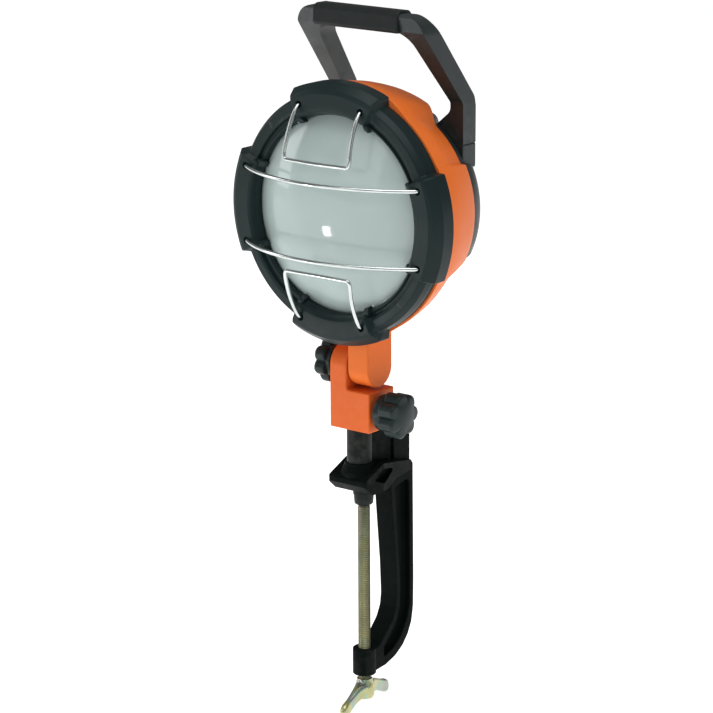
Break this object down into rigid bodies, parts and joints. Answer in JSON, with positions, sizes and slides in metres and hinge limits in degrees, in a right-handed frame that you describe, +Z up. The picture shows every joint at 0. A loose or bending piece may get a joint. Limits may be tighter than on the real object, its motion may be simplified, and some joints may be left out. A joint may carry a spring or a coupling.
{
  "type": "clamp-on work light",
  "caption": "Round guarded work light with a carrying handle, on a tilt and swivel bracket carried by a screw clamp.",
  "frame": {"origin": "middle of the clamp jaw's underside, on the clamp screw's axis", "axes": "+Z up along the clamp screw and the post, -Y the way the lamp shines, +X to the side of the swivel lock knob"},
  "size_m": [0.231, 0.1697, 0.637],
  "materials": {
    "cast_black": "black enamel on a rough casting",
    "black_steel": "satin black enamel on steel tube",
    "zinc_black": "blackened steel",
    "zinc_yellow": "yellow zinc plate, turned",
    "zinc_yellow_cast": "yellow zinc plate on a forging",
    "bright_steel": "bright zinc plate",
    "orange_paint": "orange enamel",
    "fibre_grey": "pressed fibre",
    "knob_black": "moulded, satin",
    "brass_insert": "turned",
    "orange_plastic": "moulded, satin gloss",
    "ring_rubber": "satin rubber",
    "guard_steel": "bright plated wire",
    "lens_clear": "clear, domed",
    "seal_black": "matt",
    "reflector_pale": "pale metallised",
    "led_board_white": "white solder mask on aluminium",
    "led_phosphor": "phosphor under clear silicone",
    "heat_sink_aluminium": "die-cast, blasted",
    "lead_insulation": "soft PVC",
    "cover_black": "moulded, fine texture",
    "grip_rubber": "soft rubber sleeve",
    "driver_white": "moulded",
    "board_green": "solder mask",
    "terminal_cream": "moulded",
    "switch_black": "moulded",
    "switch_red": "moulded",
    "gland_black": "moulded nylon"
  },
  "bodies": {
    "clamp": {"clamp_frame": "cast_black", "post": "black_steel"},
    "pad": {"swivel_pad": "zinc_black"},
    "screw": {"clamp_screw": "zinc_yellow", "wing_handle": "zinc_yellow_cast", "handle_pin": "bright_steel"},
    "bracket": {"yoke": "orange_paint", "friction_washer": "fibre_grey", "knob_washer": "bright_steel"},
    "tilt_lock": {"tilt_knob": "knob_black", "tilt_knob_nut": "brass_insert"},
    "swivel_lock": {"swivel_knob": "knob_black", "swivel_knob_stud": "bright_steel"},
    "head": {"tilt_bolt": "bright_steel", "head_shell": "orange_plastic", "front_ring": "ring_rubber", "ring_screws": "bright_steel", "guard_wire_upper": "guard_steel", "guard_wire_lower": "guard_steel", "guard_loop_top": "guard_steel", "guard_loop_bottom": "guard_steel", "lens": "lens_clear", "lens_gasket": "seal_black", "reflector": "reflector_pale", "led_board": "led_board_white", "led_emitter": "led_phosphor", "heat_sink": "heat_sink_aluminium", "heat_sink_screws": "bright_steel", "led_leads": "lead_insulation", "rear_cover": "cover_black", "rear_gasket": "seal_black", "rear_cover_screws": "bright_steel", "handle_frame": "cover_black", "handle_screws": "bright_steel", "grip_sleeve": "grip_rubber", "driver_case": "driver_white", "driver_board": "board_green", "terminal_block": "terminal_cream", "switch_body": "switch_black", "cable_gland": "gland_black", "gland_nut": "gland_black", "gland_seal": "seal_black"},
    "switch": {"switch_rocker": "switch_red"}
  },
  "joints": [
    {"name": "pad_travel", "type": "slide", "parent": "clamp", "child": "pad", "axis": [0, 0, -1], "range_m": [0, 0.1099]},
    {"name": "screw_turn", "type": "hinge", "parent": "pad", "child": "screw", "pos_m": [0, 0, -0.05], "axis": [0, 0, -1], "range_deg": [0, 22600]},
    {"name": "swivel", "type": "hinge", "parent": "clamp", "child": "bracket", "pos_m": [0, -0.006, 0.075], "axis": [0, 0, 1], "continuous": true},
    {"name": "swivel_lock_turn", "type": "hinge", "parent": "bracket", "child": "swivel_lock", "pos_m": [0.03, -0.006, 0.076], "axis": [1, 0, 0], "range_deg": [0, 450]},
    {"name": "tilt", "type": "hinge", "parent": "bracket", "child": "head", "pos_m": [0, -0.002, 0.114], "axis": [1, 0, 0], "range_deg": [-60, 85]},
    {"name": "tilt_lock_turn", "type": "hinge", "parent": "bracket", "child": "tilt_lock", "pos_m": [-0.03, -0.002, 0.114], "axis": [-1, 0, 0], "range_deg": [0, 450]},
    {"name": "switch_rock", "type": "hinge", "parent": "head", "child": "switch", "pos_m": [0, 0.068, 0.289], "axis": [1, 0, 0], "range_deg": [0, 15]}
  ],
  "couplings": [
    {"joint": "pad_travel", "follows": "screw_turn", "m_per_rad": 0.00027852}
  ]
}
